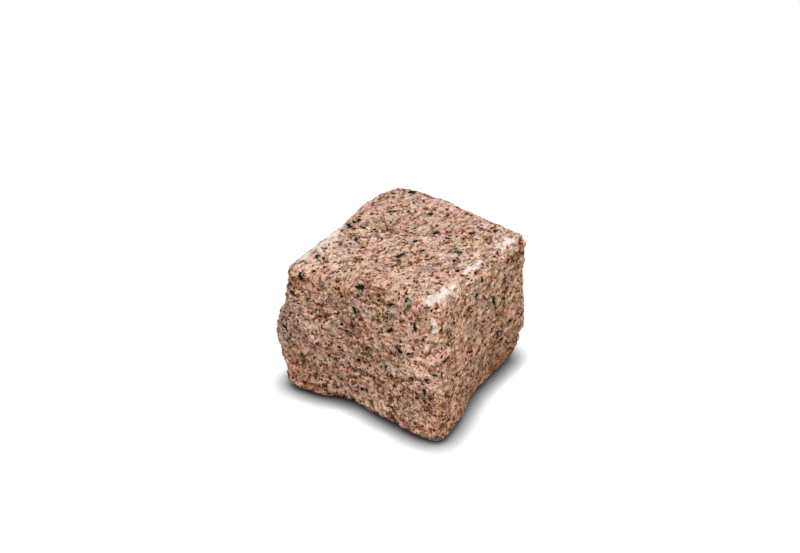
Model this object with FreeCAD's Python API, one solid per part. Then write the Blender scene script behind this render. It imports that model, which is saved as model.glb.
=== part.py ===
import FreeCAD
import Part
import math
import os
import random
from collections import namedtuple
from itertools import product

Vector = FreeCAD.Vector

# A small paving sett, split by hammer from pink granite: one stone with a flat bed, five hackly faces and
# blunt arrises. X runs along its front face, Y towards its back and Z up, in millimetres. The bed is the face
# that the stone is laid on, at Z = 0, and the head is the face that is walked on.

# The nominal block
LENGTH = 92.0
WIDTH = 100.0
HEIGHT = 82.5

# How far the split left each corner from the nominal block's corner, along X and Y
BED_OFF = {
    ("left", "front"): (-4.0, 1.0),
    ("right", "front"): (10.5, 0.5),
    ("right", "back"): (-5.5, -1.0),
    ("left", "back"): (6.5, -1.0),
}
HEAD_OFF = {
    ("left", "front"): (1.5, -3.5),
    ("right", "front"): (-2.5, 9.5),
    ("right", "back"): (2.5, -0.5),
    ("left", "back"): (-0.5, 5.0),
}

# Blunt arrises, as the width that the hammer took off the face on either side
ARRIS_BAND = 4.0

# Hackle: the split broke each face into facets, whose corners stand out of the face or in, and lie aside from
# even rows, by these lengths at most. The head split most evenly, and along the arrises the hackle is worn.
HACKLE = {"left": 0.85, "right": 0.8, "front": 1.0, "back": 0.85, "bed": 0.0, "head": 0.4}
HACKLE_WORN = 0.4
HACKLE_ASIDE = 1.4

# Slow ripples of the split faces, one for each axis that they move the stone along. The slant is how far the
# crests lean, and the start is the angle that the first wave begins at.
RIPPLE_HEIGHT = 0.45
RIPPLE_LENGTH = 47.0
RIPPLE_SLANT = (0.7, 0.6, -0.8)
RIPPLE_START = (0.0, 1.0, 2.0)

# Humps, hollows and bruises. The place is given as shares of the block's length, width and height, the reach
# is how far round that place the stone is moved, and the push is the way that the stone there is moved.
Lump = namedtuple("Lump", "place reach push")
LUMPS = {
    "belly of the left front arris": Lump((0.0, 0.0, 0.41), 28.0, (-8.2, 0.0, 0.0)),
    "belly of the right back arris": Lump((1.0, 1.0, 0.38), 40.0, (4.8, 0.0, 0.0)),
    "belly of the left head arris": Lump((0.0, 0.75, 1.0), 30.0, (-2.2, 0.0, 0.0)),
    "belly of the back head arris": Lump((0.35, 1.0, 1.0), 50.0, (0.0, 3.8, 0.0)),
    "shoulder of the front face": Lump((0.3, 0.0, 0.68), 33.0, (0.0, -1.6, 0.0)),
    "hollow low on the front face": Lump((0.5, 0.0, 0.25), 36.0, (0.0, 3.3, 0.0)),
    "left toe of the front foot": Lump((0.12, 0.0, 0.0), 16.0, (0.0, -1.2, 0.0)),
    "hollow of the front foot": Lump((0.4, 0.0, 0.0), 20.0, (0.0, 2.9, 0.0)),
    "right toe of the front foot": Lump((0.84, 0.0, 0.0), 14.0, (0.0, -1.2, 0.0)),
    "toe of the right foot": Lump((1.0, 0.2, 0.0), 18.0, (1.0, 0.0, 0.0)),
    "hollow of the right foot": Lump((1.0, 0.54, 0.03), 26.0, (-2.8, 0.0, 0.0)),
    "hollow of the back face": Lump((0.45, 1.0, 0.35), 40.0, (0.0, -2.6, 0.0)),
    "bruise of the front head arris": Lump((0.2, 0.0, 1.0), 25.0, (0.0, 1.3, -2.1)),
    "bruise of the right head arris": Lump((1.0, 0.55, 1.0), 38.0, (-1.4, 0.0, -1.4)),
    "bruise of the near head corner": Lump((1.0, 0.0, 1.0), 16.0, (-1.0, 1.0, -2.0)),
    "bruise of the left back head corner": Lump((0.0, 1.0, 1.0), 18.0, (2.0, -2.5, -1.0)),
}

# The steps between the corners of facets along a side of a face
STEPS = 15

# Stations along each axis: the faces at its two ends, and the corners of the facets that lie between them
FIRST, LAST = 0, STEPS + 2
INNER = range(FIRST + 1, LAST)
FACES = {
    ("x", FIRST): "left",
    ("x", LAST): "right",
    ("y", FIRST): "front",
    ("y", LAST): "back",
    ("z", FIRST): "bed",
    ("z", LAST): "head",
}


def block_corner(side, depth, level):
    """One of the block's eight corners, as the split left it."""
    x_off, y_off = (HEAD_OFF if level == "head" else BED_OFF)[side, depth]
    x = LENGTH / 2 if side == "right" else -LENGTH / 2
    y = WIDTH / 2 if depth == "back" else -WIDTH / 2
    z = HEIGHT if level == "head" else 0.0
    return Vector(x + x_off, y + y_off, z)


def between(low, high, share):
    return low + (high - low) * share


def on_block(x_share, y_share, z_share):
    """A place in the block between its eight corners, before it is moved in any way."""
    levels = []
    for level in ("bed", "head"):
        front = between(block_corner("left", "front", level), block_corner("right", "front", level), x_share)
        back = between(block_corner("left", "back", level), block_corner("right", "back", level), x_share)
        levels.append(between(front, back, y_share))
    return between(*levels, z_share)


def ripple(place):
    """How far the slow ripples move the stone at a place."""
    turn = 2 * math.pi / RIPPLE_LENGTH
    runs = ((place.y, place.z), (place.z, place.x), (place.x, place.y))
    waves = zip(runs, RIPPLE_SLANT, RIPPLE_START)
    return Vector(*(RIPPLE_HEIGHT * math.sin(turn * (run + slant * aside) + start)
                    for (run, aside), slant, start in waves))


def lumps(place):
    """How far the humps, hollows and bruises move the stone at a place. Each fades out at its reach."""
    moved = Vector()
    for lump in LUMPS.values():
        away = (place - on_block(*lump.place)).Length / lump.reach
        if away < 1:
            moved += Vector(*lump.push) * (1 - away**2) ** 2
    return moved


def hackle(steps):
    """How far a facet's corner stands out of its face or in, and lies aside: the same for each build."""
    chance = random.Random(" ".join(map(str, steps)))
    beside_arris = any(step in (INNER[0], INNER[-1]) for step in steps)
    thrown = []
    for axis, step in zip("xyz", steps):
        most = HACKLE[FACES[axis, step]] if (axis, step) in FACES else HACKLE_ASIDE
        thrown.append(chance.uniform(-1, 1) * (min(most, HACKLE_WORN) if beside_arris else most))
    return Vector(*thrown)


def station(size, step):
    """Where a step lies along a side of the block, as a share of that side."""
    if step in (FIRST, LAST):
        return step / LAST
    band = ARRIS_BAND / size
    return band + (1 - 2 * band) * (step - INNER[0]) / STEPS


def beside(end):
    """The last station before a face."""
    return end + 1 if end == FIRST else end - 1


def point(x, y, z):
    """The corner of the facets at these steps along the three axes. The bed stays flat."""
    place = on_block(station(LENGTH, x), station(WIDTH, y), station(HEIGHT, z))
    moved = place + ripple(place) + lumps(place) + hackle((x, y, z))
    if z == FIRST:
        moved.z = 0.0
    return moved


def flat(points):
    """A flat facet between points."""
    return Part.Face(Part.makePolygon([*points, points[0]]))


def facets(net):
    """The facets over a net of points: two to a cell, which meet along its shorter diagonal."""
    made = []
    for row, next_row in zip(net, net[1:]):
        for a, b, c, d in zip(row, row[1:], next_row[1:], next_row):
            if a.distanceToPoint(c) < b.distanceToPoint(d):
                made += [flat((a, b, c)), flat((a, c, d))]
            else:
                made += [flat((a, b, d)), flat((b, c, d))]
    return made


def split_face(axis, end):
    """The hackly face at one end of an axis."""
    first, second = (other for other in "xyz" if other != axis)
    return facets([[point(**{axis: end, first: m, second: n}) for n in INNER] for m in INNER])


def blunt_arris(along, ends):
    """The strip that the hammer left between two faces, running along an axis."""
    (first, first_end), (second, second_end) = ends
    return facets([
        [point(**{along: n, first: first_end, second: beside(second_end)}) for n in INNER],
        [point(**{along: n, first: beside(first_end), second: second_end}) for n in INNER],
    ])


def blunt_corner(ends):
    """The facet between the arrises that meet at a corner."""
    points = []
    for axis in ends:
        points.append(point(**{other: end if other == axis else beside(end) for other, end in ends.items()}))
    return flat(points)


def bed():
    """The flat bed, inside the arrises round the foot of the stone."""
    low, high = INNER[0], INNER[-1]
    there, back = INNER[:-1], INNER[:0:-1]
    rim = [(n, low) for n in there] + [(high, n) for n in there]
    rim += [(n, high) for n in back] + [(low, n) for n in back]
    return flat([point(x, y, FIRST) for x, y in rim])


def sett():
    """The whole stone, standing on its bed with the origin under the middle of its box."""
    both = (FIRST, LAST)
    faces = [bed()]
    for axis, end in FACES:
        if FACES[axis, end] != "bed":
            faces += split_face(axis, end)
    for along in "xyz":
        others = [axis for axis in "xyz" if axis != along]
        for ends in product(both, both):
            faces += blunt_arris(along, tuple(zip(others, ends)))
    for ends in product(both, repeat=3):
        faces.append(blunt_corner(dict(zip("xyz", ends))))
    shell = Part.makeShell(faces)
    shell.sewShape()
    solid = Part.makeSolid(shell)
    if solid.Volume < 0:
        solid.reverse()
    middle = solid.optimalBoundingBox(False, False).Center
    solid.translate(Vector(-middle.x, -middle.y, 0.0))
    return solid


stone = sett()
os.makedirs("parts", exist_ok=True)
stone.exportStep("parts/sett.step")
box = stone.optimalBoundingBox(False, False)
print(f"sett {box.XLength:.1f} x {box.YLength:.1f} x {box.ZLength:.1f} mm, {stone.Volume / 1000:.0f} cm3,",
      "valid" if stone.isValid() else "NOT VALID", stone.ShapeType, len(stone.Faces), "faces")
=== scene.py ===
import math
import bpy
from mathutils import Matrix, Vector


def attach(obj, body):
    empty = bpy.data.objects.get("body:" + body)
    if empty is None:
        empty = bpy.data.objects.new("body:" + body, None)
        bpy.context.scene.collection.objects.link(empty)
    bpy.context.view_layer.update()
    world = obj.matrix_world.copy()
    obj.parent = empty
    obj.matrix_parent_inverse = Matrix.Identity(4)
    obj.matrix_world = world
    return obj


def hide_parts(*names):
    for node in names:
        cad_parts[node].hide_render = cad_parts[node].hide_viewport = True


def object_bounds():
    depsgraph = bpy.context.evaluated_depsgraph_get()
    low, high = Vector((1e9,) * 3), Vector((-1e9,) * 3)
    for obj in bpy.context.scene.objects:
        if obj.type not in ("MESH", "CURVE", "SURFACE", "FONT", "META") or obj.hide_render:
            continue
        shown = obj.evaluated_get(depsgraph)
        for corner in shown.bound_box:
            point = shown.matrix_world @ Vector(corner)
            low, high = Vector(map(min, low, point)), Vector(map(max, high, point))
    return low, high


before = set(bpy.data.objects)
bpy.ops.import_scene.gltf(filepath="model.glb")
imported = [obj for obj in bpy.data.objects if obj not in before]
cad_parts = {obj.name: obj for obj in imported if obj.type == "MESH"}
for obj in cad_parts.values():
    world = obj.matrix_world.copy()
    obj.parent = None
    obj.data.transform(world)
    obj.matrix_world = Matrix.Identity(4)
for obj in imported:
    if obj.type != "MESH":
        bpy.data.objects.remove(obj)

cad_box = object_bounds()

# The sett is one stone of pink granite, a mix of salmon and cream feldspar, grey quartz and black mica.
# It was split from a larger block by hammer, so its faces are hackly and its arrises blunt and bruised.
# It is loose: it stands on its bed by its own weight.

MM = 0.001
PER_MM = 1 / MM

# The split faces are worked up from the solid's own skin, cut into cells finer than the crystals.
CELL = 0.78 * MM
MERGE = 0.01 * MM

bpy.ops.object.select_all(action="DESELECT")
stone = bpy.data.objects.new("split_stone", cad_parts["sett"].data.copy())
bpy.context.collection.objects.link(stone)
stone.data.materials.clear()
bpy.context.view_layer.objects.active = stone
stone.select_set(True)
bpy.ops.object.mode_set(mode="EDIT")
bpy.ops.mesh.select_all(action="SELECT")
bpy.ops.mesh.remove_doubles(threshold=MERGE)
bpy.ops.object.mode_set(mode="OBJECT")
fine = stone.modifiers.new("fine cells", "REMESH")
fine.mode = "VOXEL"
fine.voxel_size = CELL
bpy.ops.object.modifier_apply(modifier=fine.name)


def put(tree, kind, inputs=None, **settings):
    """Adds a node, sets it up, and joins or sets its inputs."""
    made = tree.nodes.new(kind)
    for name, value in settings.items():
        setattr(made, name, value)
    for socket, value in (inputs or {}).items():
        if isinstance(value, bpy.types.NodeSocket):
            tree.links.new(value, made.inputs[socket])
        else:
            made.inputs[socket].default_value = value
    return made


def sums(tree, operation, first, second=0.0):
    """One step of arithmetic on numbers."""
    return put(tree, "ShaderNodeMath", {0: first, 1: second}, operation=operation).outputs[0]


def added(tree, *shares):
    """The sum of several values, each times its share."""
    total = None
    for value, share in shares:
        part = sums(tree, "MULTIPLY", value, share)
        total = part if total is None else sums(tree, "ADD", total, part)
    return total


def moved(tree, operation, first, second):
    """One step of arithmetic on places or directions."""
    other = "Scale" if operation == "SCALE" else 1
    return put(tree, "ShaderNodeVectorMath", {0: first, other: second}, operation=operation).outputs[0]


def along(tree, first, second):
    """How far one direction reaches along another."""
    both = {0: first, 1: second}
    return put(tree, "ShaderNodeVectorMath", both, operation="DOT_PRODUCT").outputs["Value"]


def fade(tree, value, start, end, low=0.0, high=1.0):
    """Runs smoothly from low to high while the value runs from start to end."""
    limits = {"Value": value, "From Min": start, "From Max": end, "To Min": low, "To Max": high}
    return put(tree, "ShaderNodeMapRange", limits, interpolation_type="SMOOTHSTEP").outputs[0]


def cloud(tree, place, size, detail=2.0, roughness=0.5):
    """Soft random cloud, with features of a size in millimetres. Gives its value, and its colour."""
    texture = {"Vector": place, "Scale": 1 / size, "Detail": detail, "Roughness": roughness}
    return put(tree, "ShaderNodeTexNoise", texture).outputs


def crystals(tree, place, size, feature="F1"):
    """Random crystals of a size in millimetres."""
    return put(tree, "ShaderNodeTexVoronoi", {"Vector": place, "Scale": 1 / size}, feature=feature).outputs


# The middle of a random number from 0 to 1, and of a random colour
MIDDLE = 0.5
MIDDLES = (MIDDLE, MIDDLE, MIDDLE)


def numbers(tree, triple):
    """The three numbers that a colour, a place or a direction stands for."""
    return put(tree, "ShaderNodeSeparateXYZ", {0: triple}).outputs


def off_middle(tree, value):
    """A random number from 0 to 1, taken from its middle."""
    return sums(tree, "SUBTRACT", value, MIDDLE)


def plane(tree, place, crystal):
    """How high each crystal's own tilted plane stands at a place, in millimetres."""
    tilt = moved(tree, "SUBTRACT", crystal["Color"], MIDDLES)
    return along(tree, tilt, moved(tree, "SUBTRACT", place, crystal["Position"]))


# Crystals, in millimetres: the large ones, the grains between them and the grit that the grains broke into.
# They are drawn out along Y by the rift, and a cloud bends them. Of a cloud the size comes first, then how
# many finer layers it has and how strong each is beside the last.
LARGE_SIZE = 3.4
GRAIN_SIZE = 2.1
GRIT_SIZE = 0.75
RIFT = 1.35
WANDER_CLOUD = (1.3, 3.0, 0.65)
WANDER = 1.2

# Gaps at the rims of grains, seams between large crystals, and cracks along a cloud's middle level, which
# the grit breaks up. An edge is where each fades. Two more clouds, given by size, open them only in places.
GAP_EDGE = (0.52, 0.80)
SEAM_EDGE = (0.09, 0.027)
CRACK_CLOUD = (2.6, 3.0, 0.6)
CRACK_EDGE = (0.07, 0.035)
CRACK_BREAK = 0.09
OPEN_GAP_SIZE = 4.2
OPEN_GAP = (0.47, 0.58)
OPEN_CRACK_SIZE = 3.0
OPEN_CRACK = (0.46, 0.56)

# Holes where a whole grain broke out: their share of the grains, and how far from the middle the edge lies
HOLES = 0.17
HOLE_EDGE = (0.42, 0.28)
HOLE_RAGGED = 0.5

# Small hollows and rises between the crystals
MOTTLE_CLOUD = (3.2, 4.0, 0.72)

# Pits, and glints that are painted highlights, as shares of the grit
PITS = 0.06
PAINTED_GLINT_SHARE = 0.03

# Clusters of black mica: how far apart they could lie, and the share of those places that has one. Its
# least and largest reach, and how much further the grey-green crystals round it go, are shares of that
# distance. Grains and grit make its edge ragged. Flecks are single bits of mica in the grit, and smoky
# crystals are the large ones of grey quartz.
CLUSTER_SIZE = 4.4
CLUSTERS = 0.08
MICA_REACH = (0.05, 0.36)
HALO = 0.2
RAGGED_GRAIN = 0.35
FLECKS = 0.004
SMOKY = 0.06

# How much the grains say in where a large speck flakes. The grit says the rest.
FLAKE_GRAIN = 0.5


def minerals(tree, place):
    """What the stone is made of at a place in millimetres."""
    drawn = moved(tree, "MULTIPLY", place, (1, 1 / RIFT, 1))
    wander = moved(tree, "SUBTRACT", cloud(tree, drawn, *WANDER_CLOUD)[1], MIDDLES)
    wander = moved(tree, "SCALE", wander, WANDER)
    bent = moved(tree, "ADD", drawn, wander)
    large, grain, grit = (crystals(tree, bent, size) for size in (LARGE_SIZE, GRAIN_SIZE, GRIT_SIZE))
    large_chance = numbers(tree, large["Color"])
    grain_chance = numbers(tree, grain["Color"])
    grit_chance = numbers(tree, grit["Color"])
    level = sums(tree, "ABSOLUTE", off_middle(tree, cloud(tree, drawn, *CRACK_CLOUD)[0]))
    level = added(tree, (level, 1.0), (grit_chance[2], CRACK_BREAK))
    seam = crystals(tree, bent, LARGE_SIZE, "DISTANCE_TO_EDGE")["Distance"]
    open_crack = fade(tree, cloud(tree, drawn, OPEN_CRACK_SIZE)[0], *OPEN_CRACK)
    open_gap = fade(tree, cloud(tree, drawn, OPEN_GAP_SIZE)[0], *OPEN_GAP)
    cluster = crystals(tree, bent, CLUSTER_SIZE)
    cluster_chance = numbers(tree, cluster["Color"])
    away = added(
        tree,
        (cluster["Distance"], 1.0),
        (off_middle(tree, grain_chance[2]), RAGGED_GRAIN),
        (off_middle(tree, grit_chance[2]), RAGGED_GRAIN),
    )
    reach = fade(tree, cluster_chance[1], 0.0, 1.0, *MICA_REACH)
    chosen = sums(tree, "LESS_THAN", cluster_chance[0], CLUSTERS)
    core = sums(tree, "LESS_THAN", away, reach)
    halo = sums(tree, "LESS_THAN", away, sums(tree, "ADD", reach, HALO))
    fleck = sums(tree, "LESS_THAN", grit_chance[0], FLECKS)
    hole = added(tree, (grain["Distance"], 1.0), (off_middle(tree, grit_chance[2]), HOLE_RAGGED))
    holed = sums(tree, "LESS_THAN", grain_chance[1], HOLES)
    return {
        "bent": moved(tree, "ADD", place, wander),
        "hue": large_chance[1],
        "warmth": grain_chance[0],
        "grain shade": grain_chance[1],
        "grit shade": grit_chance[1],
        "pit": sums(tree, "LESS_THAN", grit_chance[0], PITS),
        "painted glint": sums(tree, "GREATER_THAN", grit_chance[0], 1 - PAINTED_GLINT_SHARE),
        "large plane": plane(tree, bent, large),
        "grain plane": plane(tree, bent, grain),
        "grit plane": plane(tree, bent, grit),
        "dome": sums(tree, "MULTIPLY", grain["Distance"], -GRAIN_SIZE),
        "gap": sums(tree, "MULTIPLY", fade(tree, grain["Distance"], *GAP_EDGE), open_gap),
        "crack": sums(tree, "MULTIPLY", fade(tree, level, *CRACK_EDGE), open_crack),
        "seam": sums(tree, "MULTIPLY", fade(tree, seam, *SEAM_EDGE), open_gap),
        "hole": sums(tree, "MULTIPLY", fade(tree, hole, *HOLE_EDGE), holed),
        "busy": large_chance[0],
        "flake": added(tree, (grain_chance[2], FLAKE_GRAIN), (grit_chance[2], 1 - FLAKE_GRAIN)),
        "mottle": off_middle(tree, cloud(tree, drawn, *MOTTLE_CLOUD)[0]),
        "mica": sums(tree, "MAXIMUM", sums(tree, "MULTIPLY", core, chosen), fleck),
        "halo": sums(tree, "MULTIPLY", halo, chosen),
        "smoky": sums(tree, "LESS_THAN", large_chance[2], SMOKY),
    }


# Marks on the stone, as strokes: from where to where each runs, and how far it reaches, in millimetres. In
# bruises the hammer crushed the stone white, stains are of rust, and creases and chips are hollow.
BRUISES = {
    "broad, from the near head corner": ((38.6, -37.5, 81), (40.9, -25, 81), 4.3),
    "its far end": ((41, -22, 81), (41.3, -18, 81), 2.6),
    "narrow, along the right head arris": ((39.3, -4.5, 81.6), (39.5, 10, 81.3), 2.8),
    "patch at the right back head corner": ((40, 28, 81.6), (42.5, 36, 82), 3.2),
    "patch on the near upright arris": ((43.5, -41, 73), (45, -41, 66), 2.2),
    "left head arris": ((-41.5, -44, 81.5), (-41, -4, 82), 2.5),
}
STAINS = {
    "right face, high": ((48, -19.3, 45.5), (48.8, -20.5, 41), 6.0),
    "right face, low": ((48.8, -34.6, 38), (49.5, -35.5, 33.5), 5.5),
    "front foot, left": ((-32, -52.4, 6), (-30, -52.3, 5.5), 2.4),
    "front foot, middle": ((13, -48, 9), (19, -49, 7), 2.5),
    "above the front foot": ((3, -47.8, 19), (9, -47.6, 19), 4.0),
    "right foot": ((47, -14, 5), (44, 30, 9), 5.5),
    "near foot": ((45, -48, 4), (52, -46, 8), 4.5),
    "front head arris": ((4, -45.5, 82), (14, -44, 82), 2.2),
    "head, by the right back corner": ((31, 24, 82), (39, 20, 82), 3.0),
}
CREASES = {
    "under the lip of the front head arris": ((3.5, -46.5, 81.3), (13, -44.6, 81.6), 2.0),
    "high on the front, left": ((-24, -53, 55), (-12, -52, 61), 1.5),
    "high on the front, right": ((-12, -52, 61), (-3, -50.5, 53), 1.5),
    "low on the front, left": ((-4.3, -48.9, 27.3), (9.4, -47.6, 25.4), 1.8),
    "low on the front, middle": ((24.6, -47.6, 28.2), (34.8, -48.2, 35.3), 1.0),
    "low on the front, right": ((34.8, -48.2, 35.3), (46.1, -47.8, 38.3), 1.0),
    "left of the front foot": ((-36, -52, 7), (-13, -48, 10), 1.8),
    "middle of the front foot": ((22, -50, 7), (28, -50, 2), 2.4),
    "above the front foot": ((19.9, -49.4, 20), (22, -49.6, 15.7), 1.6),
    "right face, high": ((47.3, -21.1, 55.3), (48, -20, 47.2), 0.9),
    "right face, low": ((50.4, -29.9, 23.6), (52.1, -38.1, 18.5), 1.0),
}
FOOT_CHIPS = {
    "hollow of the front foot": ((-18, -47.5, 1), (-8, -46, 1), 5.0),
    "middle of the front foot": ((26, -50.5, 1), (28.5, -51, 1), 5.0),
}

# Painted glints, white highlights on single crystal faces; specks of black mica; and specks that are mostly
# grey-green crystals
PAINTED_CRYSTAL_GLINTS = {
    "high on the front": ((7.6, -49, 65.5), (8.2, -49, 65), 1.1),
    "by the near arris": ((41.4, -46.5, 55.6), (41.5, -46.5, 54.4), 0.9),
}
BLACK_SPECKS = {
    "largest, at the front head arris": ((-0.4, -47.6, 80.8), (1.7, -47.3, 80.9), 3.0),
    "by the left head corner": ((-35.9, -51.8, 78.6), (-34.9, -52.7, 75.9), 1.7),
    "by the left front arris": ((-40.5, -54.3, 66.9), (-37.7, -54.4, 64.8), 1.5),
    "left belly": ((-46.3, -53.5, 41), (-44.5, -53.6, 39.4), 1.6),
    "above the crease": ((-1.6, -50.6, 67.6), (-0.6, -50.5, 66), 2.0),
    "under the crease": ((-3.4, -50.5, 56.8), (-1.1, -51, 57), 1.5),
    "left of the middle": ((13.9, -49.1, 57.9), (15.4, -48.8, 58.3), 1.3),
    "middle of the front": ((18.5, -48.1, 59.7), (21.5, -47.7, 61.9), 1.9),
    "right of the middle": ((32.2, -48.3, 50.3), (34.3, -47.7, 50.9), 1.6),
    "near arris": ((33.6, -44.8, 68.5), (34.9, -45.2, 65.7), 1.7),
    "under the near bruise": ((43.2, -42, 68.7), (43.9, -42.1, 67.1), 1.5),
    "low on the near arris": ((48.9, -40.7, 40.2), (49.3, -41.1, 38), 1.7),
    "near toe": ((53.9, -46.6, 12.1), (54.2, -47, 10.4), 1.5),
    "front foot": ((1, -47.6, 14.3), (4.2, -47.9, 15.1), 1.6),
    "head, left": ((-26.9, -11.8, 82.2), (-28.4, -9, 82.3), 2.5),
    "head, left back": ((-29.5, 22.1, 82.7), (-26.5, 24.2, 82.9), 1.9),
    "head, back": ((4.4, 17.6, 82.9), (5.7, 19.6, 82.9), 2.2),
    "head, left arris, front": ((-37.9, -4, 82.5), (-37.2, -1.6, 82.6), 1.6),
    "head, left arris, back": ((-38.9, 2.6, 82.8), (-37.7, 5.8, 82.8), 1.8),
    "head, left, small": ((-31.8, 0.8, 82.4), (-31, 1, 82.4), 1.3),
    "head, front, small": ((-24.1, -23.1, 82.6), (-23.5, -23, 82.6), 1.3),
    "head, middle, small": ((-20.1, -15.9, 82.7), (-19.3, -15.7, 82.7), 1.4),
    "by the narrow bruise": ((35.2, -6.4, 82.1), (35.6, -5.8, 82.1), 1.7),
    "right face, top": ((45.5, 3.2, 75), (45.5, 3.6, 73.6), 1.8),
    "right face, towards the back": ((46.6, 12.8, 59.1), (46.6, 14.9, 53.4), 1.7),
    "right face, low": ((49.2, -12.7, 33.3), (48.9, -11.1, 28.9), 1.5),
}
GREEN_SPECKS = {
    "left of the lip": ((-22.6, -51.4, 76.8), (-20.4, -51.8, 74.4), 2.2),
    "under the largest": ((0.6, -49.8, 78), (1.4, -50, 76.5), 2.0),
    "glassy": ((10.5, -48.7, 65.4), (13.7, -48.6, 65.6), 2.0),
    "ring, upper": ((18.4, -47, 76.4), (21.7, -46.6, 76.7), 2.0),
    "ring, lower": ((18.6, -47.8, 71.2), (20.8, -47.1, 70.7), 2.0),
    "upright": ((27.4, -42.5, 81), (29.5, -44.9, 75.9), 1.8),
    "under the crease": ((-6.8, -50.9, 54.4), (-6.4, -50.6, 51.2), 2.0),
    "valley": ((5.8, -48.7, 44.4), (5.9, -48.1, 40.8), 2.2),
    "low on the front, left": ((-35.9, -52.3, 26.4), (-35.2, -51.2, 22.7), 2.8),
    "low on the front, middle": ((-15.6, -49.9, 29.7), (-13.7, -50.2, 29.9), 2.0),
    "above the left foot": ((-13.8, -49.8, 19.4), (-11.7, -49.1, 17.1), 2.0),
    "low on the front, right": ((15.8, -47.1, 37.6), (17.6, -47.9, 34.8), 2.0),
    "near foot": ((42.5, -48.2, 30.5), (43.4, -48.4, 26.4), 2.6),
    "low on the near arris": ((46.9, -46.2, 41.6), (48.1, -45.1, 40.8), 2.2),
    "head, middle": ((0.5, -12.6, 82.3), (2.7, -9.1, 82.5), 2.9),
    "dip of the head": ((-18.5, 6.2, 82.2), (-17.6, 8.9, 82.1), 2.4),
    "head, right": ((24.2, 9.6, 81.8), (25.8, 11.1, 81.6), 2.2),
    "head, right, front": ((27.9, 2.1, 81.3), (28.9, 4.4, 81.1), 2.2),
    "head, right back": ((13.6, 16.8, 83), (14.4, 17.4, 83), 2.2),
    "right face, near": ((46.9, -33.2, 62.3), (47.4, -32.4, 58.5), 2.2),
    "right face, high": ((44.7, -1, 67.8), (45.3, -1.5, 64.4), 2.4),
    "right face, back": ((47.4, 22.9, 52.6), (47.4, 23.2, 49.1), 2.2),
    "right face, middle": ((46.7, 1.5, 43.7), (47, 1.8, 41), 2.0),
    "right face, middle, back": ((46.8, 17.4, 34.8), (46.8, 18.7, 30.4), 2.2),
    "right face, foot": ((48.4, -3.5, 24.7), (46.8, 0.7, 19.9), 1.8),
}
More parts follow.
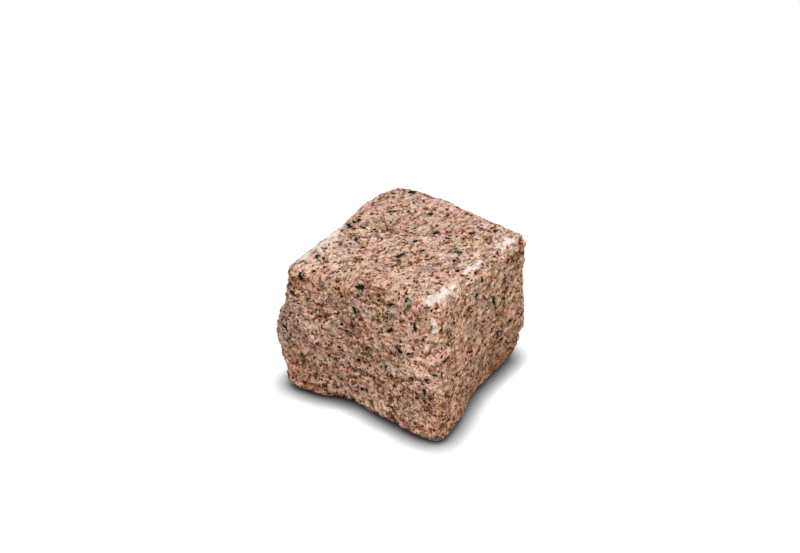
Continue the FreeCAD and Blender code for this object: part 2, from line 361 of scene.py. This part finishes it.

# Patches that are lighter or, below nought, darker than the rest: the last number says by how much. Many
# are painted light and shade: the dark ones under the head arrises, the lip and the near bruise, in the
# valley and the creases, towards the back of the right face and low by the foot are painted shade, and the
# light ones by the near arris and on the hollow and hump of the front foot are painted light. The rest are
# the stone's own lighter and darker tones.
LIGHT_SHADE_AND_TONE_PATCHES = {
    "right face, towards the back": ((46, 30, 60), (44, 30, 18), 26, -0.065),
    "right foot": ((47, -10, 12), (45, 22, 12), 14, -0.05),
    "left of the front foot": ((-44, -52, 10), (-12, -49, 8), 9, -0.07),
    "valley of the front": ((-6, -50, 48), (10, -48, 36), 8, -0.05),
    "crease down to the foot": ((12, -48, 24), (24, -50, 6), 6, -0.07),
    "front, by the near arris": ((35, -47, 45), (39, -48, 30), 9, 0.11),
    "near foot": ((38, -49, 14), (50, -48, 12), 8, -0.05),
    "left belly": ((-44, -53, 34), (-38, -52, 18), 9, -0.05),
    "left shoulder": ((-27.4, -53.4, 49.2), (-9.7, -51.9, 55.2), 7, 0.06),
    "below the front head arris": ((-24, -53, 64), (-8, -51, 64), 8, -0.045),
    "dip of the head": ((-20, 8, 82.5), (-8, 6, 82.5), 7, -0.05),
    "under the front head arris, left": ((-38, -53.4, 74), (-11, -50.2, 79), 8, -0.13),
    "under the front head arris, right": ((-1, -49.9, 79), (25, -43, 81), 8, -0.11),
    "left front head corner": ((-38, -53.4, 72), (-34, -53, 74), 7, -0.15),
    "front of the lip": ((-6, -44, 82), (0, -43, 82), 6, -0.05),
    "under the crease": ((-2, -50.5, 59), (0, -50.5, 56), 6, -0.05),
    "middle of the front foot": ((27.7, -49.3, 19.2), (30, -49.3, 18), 6, -0.07),
    "near arris, low": ((45, -46.7, 45), (45.5, -46.7, 43), 6, -0.08),
    "inside the near bruise": ((33, -20, 82), (36, -16, 82), 6, 0.05),
    "left back of the head": ((-27, 13, 82.4), (-24, 15, 82.4), 8, -0.05),
    "right face, back": ((47.6, 24, 42), (47.4, 23, 52), 9, -0.06),
    "below the lip": ((-10.5, -50.2, 78), (-9, -51, 66), 7, -0.08),
    "below the lip, right": ((9, -49, 70), (11, -49, 69), 6, 0.06),
    "above the left foot": ((-13, -48.5, 12), (-10, -48.5, 13), 6, 0.05),
    "right of the front, low": ((25, -48, 38), (33, -48, 40), 7, 0.14),
    "near arris, middle": ((40, -46.5, 52), (48.5, -38, 53), 7, 0.13),
    "along the right head arris": ((43, -25, 79), (44.3, -17, 75), 7, 0.05),
    "by the narrow bruise": ((39, 3, 81.5), (40, 8, 81), 5, 0.04),
    "head, right of the middle": ((5, -16, 82), (14, -2, 82), 9, -0.10),
    "front of the head": ((-9, -35, 82), (1, -24, 82), 8, -0.06),
    "under the near bruise": ((32, -44, 77), (42, -42, 70), 6, -0.15),
    "end of the valley": ((6, -48, 41), (8, -48, 38), 8, -0.17),
    "left of the front, low": ((-41, -51.7, 22), (-29, -51.7, 16), 8, -0.16),
    "middle of the front, low": ((-12, -49, 22), (-2, -49, 25), 7, -0.10),
    "above the front foot": ((7, -47.6, 19), (34, -48.3, 26), 8, -0.075),
    "near toe": ((47, -48.5, 25), (54, -45, 9), 10, -0.15),
    "right foot, near": ((52, -39, 22), (50, -22, 13), 7, -0.05),
    "right face, high": ((44.3, -17, 75), (45, -3, 68), 8, 0.08),
    "head, right back": ((16, 34, 82.5), (22, 38, 82.5), 8, 0.07),
    "left head arris": ((-39, -15, 82), (-36, -29, 82.5), 6, 0.12),
    "under the right head arris": ((43.3, 12, 79), (45.5, 11, 69), 7, -0.08),
    "middle of the head": ((-12, -14, 82.5), (-8, -13, 82.5), 7, -0.06),
    "right front of the head": ((17, -19, 82.5), (21, -17, 82.5), 6, -0.06),
    "below the near bruise": ((35, -45, 66), (39, -44, 66), 5, -0.08),
    "hollow of the front foot": ((-17, -48, 9), (-9, -47, 9), 6, 0.13),
    "hump of the front foot": ((12, -49.5, 8), (18, -50, 9), 6, 0.18),
    "below the end of the valley": ((13, -48, 33), (22, -48, 36), 5, 0.08),
    "left of the head": ((-28, -2, 82.4), (-22, 1, 82.4), 7, 0.10),
    "left front of the head": ((-29, -47, 82), (-24, -45, 82), 6, 0.07),
    "right face, middle": ((46.3, -1.5, 50), (45.8, 12, 40), 7, -0.04),
}

# Patches that lean to rose or, below nought, to olive
TINTED_PATCHES = {
    "right face": ((48.5, -37, 47), (49, -11, 31), 14, 0.45),
    "left of the front": ((-29, -53.8, 36), (-19, -52.5, 42), 11, 0.45),
    "under the lip": ((-7, -51, 63), (10, -49, 66), 9, -0.4),
    "ring": ((12, -48, 71), (20, -47.5, 72), 9, -0.3),
    "left foot": ((-30, -52, 8), (-20, -50.3, 10), 9, -0.3),
    "back of the head": ((4, 24, 82.5), (12, 22, 82.5), 8, 0.3),
    "right of the head": ((17, 18, 82), (24, 10, 82), 7, -0.3),
    "left head arris": ((-39, -15, 82), (-36, -29, 82.5), 9, -0.35),
}

# The edges of marks: the cloud that makes them ragged, and the share of its reach that a mark covers wholly
RAGGED_CLOUD = (2.4, 4.0, 0.7)
WHOLE = 0.1


def uneven(tree, place, most):
    """A cloud that makes the edges of marks ragged."""
    return sums(tree, "MULTIPLY", off_middle(tree, cloud(tree, place, *RAGGED_CLOUD)[0]), most)


def covered(tree, place, ragged, start, end, reach):
    """How much of a place one mark covers."""
    run = Vector(end) - Vector(start)
    aside = moved(tree, "SUBTRACT", place, start)
    share = put(tree, "ShaderNodeClamp", {"Value": along(tree, aside, run / run.length_squared)}).outputs[0]
    nearest = moved(tree, "SCALE", run, share)
    both = {0: aside, 1: nearest}
    away = put(tree, "ShaderNodeVectorMath", both, operation="DISTANCE").outputs["Value"]
    return fade(tree, added(tree, (away, 1 / reach), (ragged, 1.0)), 1.0, WHOLE)


def strokes(tree, place, marks, most_ragged):
    """How much of a place any of the marks covers."""
    ragged = uneven(tree, place, most_ragged)
    total = None
    for mark in marks.values():
        one = covered(tree, place, ragged, *mark)
        total = one if total is None else sums(tree, "MAXIMUM", total, one)
    return total


# Wear of the arrises: how often the stone is smoothed to round it off, the cloud that says where it is worn
# down to that, where such places end, and the share of that wear elsewhere
ROUNDING = 9
WEAR_CLOUD = (7.0, 3.0)
WEAR_EDGE = (0.42, 0.60)
LEAST_WEAR = 0.1

# Relief of the split, in millimetres. A tilt is how far the slopes of planes differ at most, and a dome is
# a share of its grain's size.
FACET_SIZE = 4.8
FACET_TILT = 0.32
LARGE_TILT = 0.28
GRAIN_TILT = 0.20
DOME = 0.06
MOTTLE_HEIGHT = 1.4
GAP_DEPTH = 0.4
MICA_DEPTH = 0.15
CREASE_DEPTH = 0.9
FOOT_CHIP_DEPTH = 2.6
CREASE_RAGGED = 3.0
BRUISE_RAGGED = 3.6

# Which way the skin of the head, the right face and the bed faces, and the share of the relief that they
# and the bruises have. The bed has none.
HEAD_FACING = (0.4, 0.85)
RIGHT_FACING = (0.5, 0.9)
BED_FACING = (-0.9, -0.5)
HEAD_FACETS = 0.35
HEAD_GRAIN = 0.7
RIGHT_FACETS = 0.6
BRUISE_RELIEF = 0.25

relief = bpy.data.node_groups.new("relief of the split", "GeometryNodeTree")
relief.interface.new_socket("Stone", in_out="INPUT", socket_type="NodeSocketGeometry")
relief.interface.new_socket("Stone", in_out="OUTPUT", socket_type="NodeSocketGeometry")
uncut = put(relief, "NodeGroupInput").outputs[0]
place = put(relief, "GeometryNodeInputPosition").outputs[0]
outward = put(relief, "GeometryNodeInputNormal").outputs[0]
place_mm = moved(relief, "SCALE", place, PER_MM)

# How far each place stands out of the stone rounded off, which is most along the arrises
rounded = put(
    relief,
    "GeometryNodeBlurAttribute",
    {"Value": place, "Iterations": ROUNDING},
    data_type="FLOAT_VECTOR",
).outputs[0]
to_rounded = moved(relief, "SUBTRACT", rounded, place)
proud_mm = sums(relief, "MULTIPLY", along(relief, to_rounded, outward), -PER_MM)
facing = numbers(relief, outward)
on_head = fade(relief, facing[2], *HEAD_FACING)
on_right = fade(relief, facing[0], *RIGHT_FACING)
off_bed = fade(relief, facing[2], *BED_FACING)
bruised = strokes(relief, place_mm, BRUISES, BRUISE_RAGGED)


def keep(stone_so_far, name, value, kind="FLOAT"):
    """Writes a value on the stone for its finish to read."""
    written = {"Geometry": stone_so_far, "Name": name, "Value": value}
    return put(relief, "GeometryNodeStoreNamedAttribute", written, data_type=kind).outputs[0]


def kept(name):
    """Reads a value back."""
    return put(relief, "GeometryNodeInputNamedAttribute", {"Name": name}, data_type="FLOAT").outputs[0]


def calmed(value, name, least):
    """A value that falls to its least share where the stone has all of what the name stands for."""
    return sums(relief, "MULTIPLY", value, fade(relief, kept(name), 0.0, 1.0, 1.0, least))


def cut(stone_so_far, offset):
    """Moves the stone's skin."""
    return put(relief, "GeometryNodeSetPosition", {"Geometry": stone_so_far, "Offset": offset}).outputs[0]


def raised(height_mm):
    """A move outwards by a height."""
    return moved(relief, "SCALE", outward, sums(relief, "MULTIPLY", height_mm, MM))


marked = uncut
for name, value in (("head", on_head), ("right", on_right), ("rough", off_bed), ("bruise", bruised)):
    marked = keep(marked, name, value)

wear = fade(relief, cloud(relief, place_mm, *WEAR_CLOUD)[0], *WEAR_EDGE, LEAST_WEAR, 1.0)
worn = cut(marked, moved(relief, "SCALE", to_rounded, wear))

facet_share = calmed(kept("rough"), "bruise", BRUISE_RELIEF)
facet_share = calmed(calmed(facet_share, "head", HEAD_FACETS), "right", RIGHT_FACETS)
facet = plane(relief, place_mm, crystals(relief, place_mm, FACET_SIZE))
facet = sums(relief, "MULTIPLY", facet, FACET_TILT)
hackled = cut(worn, raised(sums(relief, "MULTIPLY", facet, facet_share)))
hackled = keep(hackled, "crease", strokes(relief, place_mm, CREASES, CREASE_RAGGED))
hackled = cut(hackled, raised(sums(relief, "MULTIPLY", kept("crease"), -CREASE_DEPTH)))
foot_chip = strokes(relief, place_mm, FOOT_CHIPS, CREASE_RAGGED)
hackled = cut(hackled, raised(sums(relief, "MULTIPLY", foot_chip, -FOOT_CHIP_DEPTH)))
hackled = keep(hackled, "spot", place_mm, "FLOAT_VECTOR")

found = minerals(relief, place_mm)
grained = added(
    relief,
    (found["large plane"], LARGE_TILT),
    (found["grain plane"], GRAIN_TILT),
    (sums(relief, "ADD", found["dome"], GRAIN_SIZE / 2), DOME),
    (found["mottle"], MOTTLE_HEIGHT),
    (found["mica"], -MICA_DEPTH),
    (found["gap"], -GAP_DEPTH),
)
grain_share = calmed(calmed(kept("rough"), "head", HEAD_GRAIN), "bruise", BRUISE_RELIEF)
grained = cut(hackled, raised(sums(relief, "MULTIPLY", grained, grain_share)))

# The stone keeps the solid's size: nothing stands out of its box, or below its bed.
inside = moved(relief, "MAXIMUM", moved(relief, "MINIMUM", place, tuple(cad_box[1])), tuple(cad_box[0]))
trimmed = put(relief, "GeometryNodeSetPosition", {"Geometry": grained, "Position": inside}).outputs[0]
trimmed = keep(trimmed, "proud", proud_mm)
put(relief, "NodeGroupOutput", {0: trimmed})

split = stone.modifiers.new("split", "NODES")
split.node_group = relief
bpy.ops.object.modifier_apply(modifier=split.name)
bpy.ops.object.shade_smooth()

# Colours by tone: the brown of the gaps, then salmon, then cream
TONES = [
    (0.15, (0.050, 0.0135, 0.004, 1)),
    (0.35, (0.200, 0.077, 0.0325, 1)),
    (0.50, (0.338, 0.179, 0.108, 1)),
    (0.64, (0.520, 0.321, 0.231, 1)),
    (0.80, (0.705, 0.503, 0.405, 1)),
    (0.92, (0.82, 0.65, 0.55, 1)),
]

# The stone's own tone, and what is added to it: by grains and grit, by the dark and the light side of the
# mottle, which a large crystal calms or makes busy, by broad patches and smaller blotches, by glints, and
# on the head. The mottle's dark side lies in its hollows and is painted shade with some dirt, and the
# glints are painted highlights.
TONE = 0.746
GRAIN_TONE = 0.06
GRIT_TONE = 0.17
MOTTLE_HOLLOW_SHADE_AND_DIRT = 1.4
MOTTLE_LIGHT = 0.2
BUSY = (0.4, 1.7)
PATCH_CLOUD = (15.0, 3.0)
PATCH_TONE = 0.32
PATCH_RAGGED = 2.5
BLOTCH_CLOUD = (7.0, 2.0)
BLOTCH_TONE = 0.22
PAINTED_GLINT_TONE = 0.09
HEAD_TONE = -0.02

# What stands proud is lighter and what lies hollow is darker, up to a height in millimetres: painted light
# on the rises, and painted shade with some dirt in the hollows. Creases and what broke are darker too:
# painted shade in the creases, and painted shade with some dirt in the gaps, cracks, seams, pits and
# holes. In bruises only a share of what broke shows.
PROUD_LIGHT_HOLLOW_SHADE_AND_DIRT = 0.15
PROUD_MOST = 0.4
CREASE_PAINTED_SHADE = 0.2
BREAK_SHADE_AND_DIRT_TONES = {"gap": 0.24, "crack": 0.22, "seam": 0.12, "pit": 0.5, "hole": 0.66}
BREAK_SHADE_AND_DIRT_IN_BRUISE = 0.45

# Darker and browner towards the foot, up to a height in millimetres, with a ragged top: painted shade near
# the floor, and partly a brown stain
FOOT_HEIGHT = 16.0
FOOT_RAGGED = 22.0
FOOT_SHADE_AND_STAIN_TONE = 0.10
FOOT_TINT = (0.97, 0.95, 0.89, 1)

# Tints: crystals, patches and blotches lean to rose or olive, and to ochre or mauve, and the whole to rose
ROSY = (1.08, 0.935, 1.0, 1)
OLIVE = (0.92, 1.065, 1.0, 1)
OCHRE = (1.0, 1.0, 0.86, 1)
MAUVE = (1.0, 1.0, 1.14, 1)
HUE_LEAN = 0.12
HUE_CRYSTAL = 0.15
HUE_PATCH = 1.0
HUE_BLOTCH = 1.7

# The sides are redder than the head, a painted warm bounce light, and the right face is yellower
SIDE_WARM_BOUNCE_TINT = (1.04, 0.96, 0.895, 1)
RIGHT_TINT = (1.0, 0.985, 0.915, 1)

# Specks: how ragged they are and how far they flake, where their mica ends, and where the grey-green round
# it fades out
MICA = (0.006, 0.005, 0.003, 1)
DARK_GREEN = (0.07, 0.066, 0.045, 1)
PALE_GREEN = (0.42, 0.37, 0.28, 1)
SPECK_RAGGED = 1.6
SPECK_FLAKING = 1.3
BLACK_EDGE = (0.44, 0.54)
GREEN_EDGE = (0.85, 0.95)
GREEN_FADE = (0.04, 0.3)
GREEN_SHARE = 0.8

# Smoky quartz, the white of painted glints, rust, and the crushed stone of bruises, which shows most where
# the mottle rises
SMOKE = (0.24, 0.19, 0.145, 1)
SMOKE_SHARE = 0.5
GLINT_WHITE = (0.85, 0.82, 0.78, 1)
GLINT_RAGGED = 0.8
RUST = (0.48, 0.22, 0.10, 1)
STAIN_RAGGED = 4.0
STAIN_SHARE = 0.32
CRUSHED = (0.89, 0.79, 0.71, 1)
CRUSHED_RISE = (-0.15, 0.1)
CRUSHED_SHARE = (0.55, 0.92)

# Gloss, and the finest relief, which is bump. The planes have a tilt there, and the rest a height in
# millimetres.
STONE_ROUGHNESS = 0.8
MICA_ROUGHNESS = 0.6
GLOSS = 0.05
BUMP = {
    "mottle": 1.4,
    "hole": -0.4,
    "large plane": 0.15,
    "grain plane": 0.22,
    "grit plane": 0.6,
    "gap": -0.3,
    "crack": -0.2,
    "seam": -0.1,
    "pit": -0.15,
}

granite = bpy.data.materials.new("pink granite")
granite.use_nodes = True
finish = granite.node_tree
finish.nodes.clear()


def blended(tree, share, first, second, blend="MIX"):
    """Two colours mixed."""
    both = {0: share, 6: first, 7: second}
    return put(tree, "ShaderNodeMix", both, data_type="RGBA", blend_type=blend).outputs[2]


def ramp(tree, value, stops):
    """A colour for each value, from a list of places and colours."""
    made = put(tree, "ShaderNodeValToRGB", {"Fac": value})
    elements = made.color_ramp.elements
    while len(elements) < len(stops):
        elements.new(1.0)
    for element, (at, colour) in zip(elements, stops):
        element.position = at
        element.color = colour
    return made.outputs["Color"]


def read(name):
    """A value that was written on the stone."""
    return put(finish, "ShaderNodeAttribute", attribute_name=name).outputs


spot = read("spot")["Vector"]
found = minerals(finish, spot)
bruise = read("bruise")["Fac"]
head = read("head")["Fac"]
patch = numbers(finish, cloud(finish, spot, *PATCH_CLOUD)[1])
blotch = numbers(finish, cloud(finish, spot, *BLOTCH_CLOUD)[1])
# Painted shade, with some dirt, in the gaps, cracks, seams, pits and holes
break_shade_and_dirt = added(finish, *((found[name], darker) for name, darker in BREAK_SHADE_AND_DIRT_TONES.items()))
break_shade_and_dirt = sums(finish, "MULTIPLY", break_shade_and_dirt, fade(finish, bruise, 0.0, 1.0, 1.0, BREAK_SHADE_AND_DIRT_IN_BRUISE))
# Painted light where the skin stands proud, and painted shade with some dirt where it lies hollow
proud = fade(finish, read("proud")["Fac"], -PROUD_MOST, PROUD_MOST, -PROUD_MOST, PROUD_MOST)
# Painted shade near the floor, and partly a brown stain, darken the foot
above_bed = added(finish, (numbers(finish, spot)[2], 1.0), (off_middle(finish, blotch[1]), FOOT_RAGGED))
foot = fade(finish, above_bed, FOOT_HEIGHT, 0.0)
patch_edge = uneven(finish, spot, PATCH_RAGGED)
busy = fade(finish, found["busy"], 0.0, 1.0, *BUSY)
# The mottle's dark side: painted shade with some dirt in its hollows
mottle = added(
    finish,
    (sums(finish, "MINIMUM", found["mottle"], 0.0), MOTTLE_HOLLOW_SHADE_AND_DIRT),
    (sums(finish, "MAXIMUM", found["mottle"], 0.0), MOTTLE_LIGHT),
)
# The tone carries painted light and shade: in the creases, the breaks and the mottle's hollows, by how
# proud the skin stands, towards the foot, in the glints, and in many of the named patches.
tone = added(
    finish,
    (off_middle(finish, found["grain shade"]), GRAIN_TONE),
    (off_middle(finish, found["grit shade"]), GRIT_TONE),
    (sums(finish, "MULTIPLY", mottle, busy), 1.0),
    (read("crease")["Fac"], -CREASE_PAINTED_SHADE),
    (off_middle(finish, patch[0]), PATCH_TONE),
    (off_middle(finish, blotch[0]), BLOTCH_TONE),
    (found["painted glint"], PAINTED_GLINT_TONE),
    (proud, PROUD_LIGHT_HOLLOW_SHADE_AND_DIRT),
    (head, HEAD_TONE),
    (break_shade_and_dirt, -1.0),
    (foot, -FOOT_SHADE_AND_STAIN_TONE),
    *((covered(finish, spot, patch_edge, *mark), change) for *mark, change in LIGHT_SHADE_AND_TONE_PATCHES.values()),
)
hue = added(
    finish,
    (off_middle(finish, found["hue"]), HUE_CRYSTAL),
    (off_middle(finish, patch[1]), HUE_PATCH),
    (off_middle(finish, blotch[1]), HUE_BLOTCH),
    *((covered(finish, spot, patch_edge, *mark), -change) for *mark, change in TINTED_PATCHES.values()),
)
hue = sums(finish, "SUBTRACT", hue, HUE_LEAN)
warmth = added(
    finish,
    (off_middle(finish, found["warmth"]), HUE_CRYSTAL),
    (off_middle(finish, patch[2]), HUE_PATCH),
    (off_middle(finish, blotch[2]), HUE_BLOTCH),
)
colour = ramp(finish, sums(finish, "ADD", tone, TONE), TONES)
for value, low, high in ((hue, ROSY, OLIVE), (warmth, OCHRE, MAUVE)):
    tint = ramp(finish, sums(finish, "ADD", value, MIDDLE), [(0.0, low), (1.0, high)])
    colour = blended(finish, 1.0, colour, tint, "MULTIPLY")
colour = blended(finish, sums(finish, "MULTIPLY", found["smoky"], SMOKE_SHARE), colour, SMOKE)
mica = found["mica"]
green = found["halo"]
for specks, edge in ((BLACK_SPECKS, BLACK_EDGE), (GREEN_SPECKS, GREEN_EDGE)):
    speck = strokes(finish, found["bent"], specks, SPECK_RAGGED)
    flaked = added(finish, (speck, 1.0), (off_middle(finish, found["flake"]), SPECK_FLAKING))
    mica = sums(finish, "MAXIMUM", mica, fade(finish, flaked, *edge))
    green = sums(finish, "MAXIMUM", green, fade(finish, speck, *GREEN_FADE))
grey_green = blended(finish, found["grit shade"], DARK_GREEN, PALE_GREEN)
colour = blended(finish, sums(finish, "MULTIPLY", green, GREEN_SHARE), colour, grey_green)
colour = blended(finish, mica, colour, MICA)
# Painted glints: white highlights on two crystal faces
white = strokes(finish, spot, PAINTED_CRYSTAL_GLINTS, GLINT_RAGGED)
colour = blended(finish, white, colour, GLINT_WHITE)
stain = strokes(finish, spot, STAINS, STAIN_RAGGED)
colour = blended(finish, sums(finish, "MULTIPLY", stain, STAIN_SHARE), colour, RUST)
# The sides' tint is a painted warm bounce light; the foot's goes with its painted shade and stain
sides = sums(finish, "SUBTRACT", 1.0, head)
for share, tint in ((sides, SIDE_WARM_BOUNCE_TINT), (foot, FOOT_TINT), (read("right")["Fac"], RIGHT_TINT)):
    colour = blended(finish, share, colour, tint, "MULTIPLY")
crushed = sums(finish, "MULTIPLY", bruise, fade(finish, found["mottle"], *CRUSHED_RISE, *CRUSHED_SHARE))
colour = blended(finish, crushed, colour, CRUSHED)

rough = fade(finish, mica, 0.0, 1.0, STONE_ROUGHNESS, MICA_ROUGHNESS)
height = added(finish, *((found[name], most) for name, most in BUMP.items()))
bump = put(finish, "ShaderNodeBump", {"Strength": 1.0, "Distance": MM, "Height": height}).outputs[0]
skin = put(
    finish,
    "ShaderNodeBsdfPrincipled",
    {"Base Color": colour, "Roughness": rough, "Normal": bump, "Specular IOR Level": GLOSS},
)
put(finish, "ShaderNodeOutputMaterial", {"Surface": skin.outputs[0]})
stone.data.materials.append(granite)

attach(stone, "root")
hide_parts("sett")

# The floor is a plain white sheet that the stone stands on. Where it is seen it glows, so that it shows
# white round the shadow, and a painted contact shadow darkens it close to the foot. It lights the stone no
# more than a grey sheet.
FLOOR_SIZE = 6.0
FLOOR_GREY = 0.55
FLOOR_SEEN = 0.08
FLOOR_GLOW = 0.94
PAINTED_SHADOW_REACH = 11 * MM
PAINTED_SHADOW_DEPTH = 2.4
PAINTED_SHADOW_SAMPLES = 8
bpy.ops.object.select_all(action="DESELECT")
bpy.ops.mesh.primitive_plane_add(size=FLOOR_SIZE)
floor = bpy.context.object
floor.name = "floor"
sheet = bpy.data.materials.new("white sheet")
sheet.use_nodes = True
paper = sheet.node_tree
paper.nodes.clear()


def seen_directly(tree):
    """One for what the camera sees, also in a gloss or through glass."""
    rays = put(tree, "ShaderNodeLightPath").outputs
    seen = sums(tree, "MAXIMUM", rays["Is Camera Ray"], rays["Is Glossy Ray"])
    return sums(tree, "MAXIMUM", seen, rays["Is Transmission Ray"])


# A painted contact shadow: the floor's colour and glow darken where the stone stands close
painted_contact_shadow = put(paper, "ShaderNodeAmbientOcclusion", {"Distance": PAINTED_SHADOW_REACH}, samples=PAINTED_SHADOW_SAMPLES)
painted_contact_shadow = sums(paper, "POWER", painted_contact_shadow.outputs["AO"], PAINTED_SHADOW_DEPTH)
seen_grey = sums(paper, "MULTIPLY", painted_contact_shadow, FLOOR_SEEN)
seen_glow = sums(paper, "MULTIPLY", painted_contact_shadow, FLOOR_GLOW)
seen_matt = put(paper, "ShaderNodeBsdfDiffuse", {"Color": seen_grey}).outputs[0]
glow = put(paper, "ShaderNodeEmission", {"Strength": seen_glow}).outputs[0]
seen_sheet = put(paper, "ShaderNodeAddShader", {0: seen_matt, 1: glow}).outputs[0]
grey = (FLOOR_GREY, FLOOR_GREY, FLOOR_GREY, 1)
matt = put(paper, "ShaderNodeBsdfDiffuse", {"Color": grey}).outputs[0]
both = put(paper, "ShaderNodeMixShader", {0: seen_directly(paper), 1: matt, 2: seen_sheet}).outputs[0]
put(paper, "ShaderNodeOutputMaterial", {"Surface": both})
floor.data.materials.append(sheet)

# The light is a wide soft box, overhead and to the front, in an even white room. The room shows full white
# where it is seen, and lights the stone less. Sizes and places are in metres, and the power is in watts.
ROOM_WHITE = (1, 1, 1, 1)
ROOM_LIGHT = 0.31
BOX_SIZE = 0.7
BOX_PLACE = Vector((0.3, -0.38, 1.0))
BOX_POWER = 15.5
stone_middle = (cad_box[0] + cad_box[1]) / 2
bpy.ops.object.light_add(type="AREA", location=BOX_PLACE)
soft_box = bpy.context.object
soft_box.data.size = BOX_SIZE
soft_box.data.energy = BOX_POWER
soft_box.rotation_euler = (stone_middle - BOX_PLACE).to_track_quat("-Z", "Y").to_euler()

room = bpy.data.worlds.new("white room")
room.use_nodes = True
bpy.context.scene.world = room
air = room.node_tree
air.nodes.clear()
room_level = fade(air, seen_directly(air), 0.0, 1.0, ROOM_LIGHT, 1.0)
sky = put(air, "ShaderNodeBackground", {"Color": ROOM_WHITE, "Strength": room_level}).outputs[0]
put(air, "ShaderNodeOutputWorld", {"Surface": sky})

# The camera stands as in the photograph, to the right of the front face and looking down. The lens is in
# millimetres and the distance in metres.
LENS = 108.0
AZIMUTH = math.radians(34.5)
ELEVATION = math.radians(33.0)
DISTANCE = 1.2816
AIM = Vector((14.05, -29.41, 83.04)) * MM
away = Vector((
    math.sin(AZIMUTH) * math.cos(ELEVATION),
    -math.cos(AZIMUTH) * math.cos(ELEVATION),
    math.sin(ELEVATION),
))
bpy.ops.object.camera_add(location=AIM + away * DISTANCE)
camera = bpy.context.object
camera.rotation_euler = away.to_track_quat("Z", "Y").to_euler()
camera.data.lens = LENS
bpy.context.scene.camera = camera
bpy.context.scene.view_settings.view_transform = "Standard"
